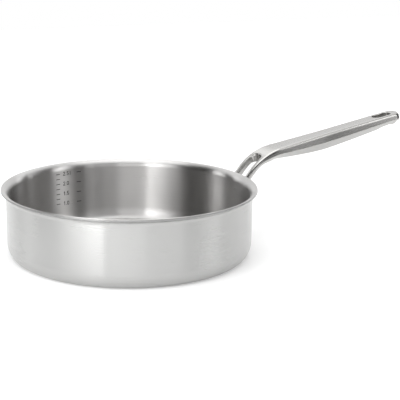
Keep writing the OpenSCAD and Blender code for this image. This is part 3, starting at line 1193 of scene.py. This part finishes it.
# The key stands close, just out of the picture to the left of the camera. The gaps between lights and
# flags let the white surround in, and together they give the steel its upright bright and dark stripes.
PANELS = (
    Panel("key_soft_box", -62.0, -19.8, 9.0, 48.0, 6.1, fade=1.0, distance=450.0),
    Panel("left_strip_light", -110.0, -95.0, 9.0, 31.0, 2.9, distance=2300.0),
    Panel("left_back_strip_light", -140.0, -126.0, 9.0, 50.0, 1.6),
    Panel("right_strip_light", 64.0, 86.0, 10.0, 46.0, 4.2, fade=1.0, distance=1550.0),
    Panel("right_back_strip_light", 135.0, 142.0, 9.0, 50.0, 2.4),
    Panel("back_soft_box", 155.0, 195.0, 31.0, 60.0, 1.8),
    Panel("front_soft_box", -17.5, 13.0, 9.0, 30.0, 2.4),
    Panel("right_sliver_light", 115.0, 119.0, 5.0, 50.0, 2.5, distance=2300.0),
    Panel("right_low_card", 50.0, 134.0, 0.0, 9.0, 0.2, distance=2300.0),
    Panel("overhead_soft_box", -180.0, 180.0, 63.0, 90.0, 2.4),
    Panel("left_flag", -125.0, -19.8, 0.0, 56.0),
    Panel("front_flag", -17.5, 48.0, 30.0, 62.0),
    Panel("right_flag", 48.0, 134.0, 0.0, 50.0),
)


@dataclass
class Studio:
    """A white floor and surround with plain soft lights, turned so that the handle points to the right."""

    handle_azimuth: float = 26.5
    focal_px: float = 1054.5
    image_px: float = 400.0
    sensor_mm: float = 36.0
    pitch: float = 14.567
    aim_yaw: float = 3.786
    distance: float = 1058.3
    aim_height: float = 53.53
    floor_size: float = 4400.0
    floor_drop: float = 0.05
    # The floor's own glow is weak within this distance of the pan, and full beyond so many times it, so the
    # floor round the pan carries painted shade besides the pan's real shadow
    painted_shade_r: float = 400.0
    painted_shade_fade: float = 3.0
    near_glow: float = 0.25
    far_glow: float = 0.9
    surround: float = 0.4

    def turn(self) -> Matrix:
        """Gives the turn from the photographed view to the pan's own axes."""
        return Matrix.Rotation(-math.radians(self.handle_azimuth), 4, "Z")

    def build_camera(self) -> None:
        """Sets the camera at the photographed viewing angle."""
        e, yaw = math.radians(self.pitch), math.radians(self.aim_yaw)
        back = Vector((0, -math.cos(e), math.sin(e)))
        up, right = Vector((0, math.sin(e), math.cos(e))), Vector((1, 0, 0))
        place = (Vector((0, 0, self.aim_height)) + back * self.distance) * MM
        aim_back = back * math.cos(yaw) - right * math.sin(yaw)
        aim_right = right * math.cos(yaw) + back * math.sin(yaw)
        matrix = Matrix.Identity(4)
        for i, column in enumerate((aim_right, up, aim_back, place)):
            for row in range(3):
                matrix[row][i] = column[row]
        data = bpy.data.cameras.new("camera")
        data.sensor_width = self.sensor_mm
        data.lens = self.focal_px * self.sensor_mm / self.image_px
        camera = bpy.data.objects.new("camera", data)
        camera.matrix_world = self.turn() @ matrix
        bpy.context.scene.collection.objects.link(camera)
        bpy.context.scene.camera = camera

    def white_for_viewers(self, tree: bpy.types.NodeTree) -> Socket:
        """Finds the rays that should see the white background: from the camera, and off or through a gloss.

        Args:
            tree: Node tree that gets the nodes.

        Returns:
            Output that is 1 for such a ray and 0 for any other.
        """
        path = add_node(tree, "ShaderNodeLightPath").outputs
        seen = add_node(tree, "ShaderNodeMath", {"operation": "MAXIMUM"},
                        {0: path["Is Camera Ray"], 1: path["Is Glossy Ray"]}).outputs[0]
        return add_node(tree, "ShaderNodeMath", {"operation": "MAXIMUM"},
                        {0: seen, 1: path["Is Transmission Ray"]}).outputs[0]

    def build_floor(self) -> None:
        """Lays the floor: pale and matt, with a white glow of its own that is weak near the pan, which
        paints shade round it besides the real shadow, and full further out.
        """
        half = self.floor_size / 2 * MM
        mesh = bpy.data.meshes.new("floor")
        drop = -self.floor_drop * MM
        corners = [(x * half, y * half, drop) for x, y in ((-1, -1), (1, -1), (1, 1), (-1, 1))]
        mesh.from_pydata(corners, [], [(0, 1, 2, 3)])
        material, tree = new_material("white_studio_floor")
        matt = add_node(tree, "ShaderNodeBsdfDiffuse", None, {"Color": srgb(FLOOR_PAINT)})
        place = add_node(tree, "ShaderNodeTexCoord").outputs["Object"]
        far = add_node(tree, "ShaderNodeVectorMath", {"operation": "LENGTH"}, {0: place}).outputs["Value"]
        # The glow rises away from the pan: its weak part near the pan is painted shade
        glow_over_painted_shade = add_node(tree, "ShaderNodeMapRange", {"interpolation_type": "SMOOTHSTEP"}, {
            "Value": far, "From Min": self.painted_shade_r * MM, "From Max": self.painted_shade_r * self.painted_shade_fade * MM,
            "To Min": self.near_glow, "To Max": self.far_glow,
        }).outputs[0]
        glow = add_node(tree, "ShaderNodeEmission", None, {"Color": WHITE, "Strength": glow_over_painted_shade})
        bright = add_node(tree, "ShaderNodeAddShader", None, {0: matt.outputs[0], 1: glow.outputs[0]})
        shader = add_node(tree, "ShaderNodeMixShader", None,
                          {0: self.white_for_viewers(tree), 1: matt.outputs[0], 2: bright.outputs[0]})
        add_node(tree, "ShaderNodeOutputMaterial", None, {"Surface": shader.outputs[0]})
        mesh.materials.append(material)
        floor = bpy.data.objects.new("floor", mesh)
        bpy.context.scene.collection.objects.link(floor)

    def build_world(self) -> None:
        """Surrounds the scene with even white light."""
        world = bpy.data.worlds.new("surround")
        world.use_nodes = True
        tree = world.node_tree
        tree.nodes.clear()
        even = add_node(tree, "ShaderNodeBackground", None, {"Color": WHITE, "Strength": self.surround})
        white = add_node(tree, "ShaderNodeBackground", None, {"Color": WHITE, "Strength": 1.0})
        shader = add_node(tree, "ShaderNodeMixShader", None,
                          {0: self.white_for_viewers(tree), 1: even.outputs[0], 2: white.outputs[0]})
        add_node(tree, "ShaderNodeOutputWorld", None, {"Surface": shader.outputs[0]})
        bpy.context.scene.world = world

    def build(self) -> None:
        """Sets the stage."""
        self.build_camera()
        self.build_floor()
        self.build_world()
        for panel in PANELS:
            panel.build(self.turn())
        bpy.context.scene.view_settings.view_transform = "Standard"


def main() -> None:
    """Builds the studio and the pan."""
    logging.basicConfig(level=logging.INFO, format="%(message)s")
    Studio().build()
    PanBody().build()
    Handle().build()
    Welds().build()


if __name__ == "__main__":
    main()
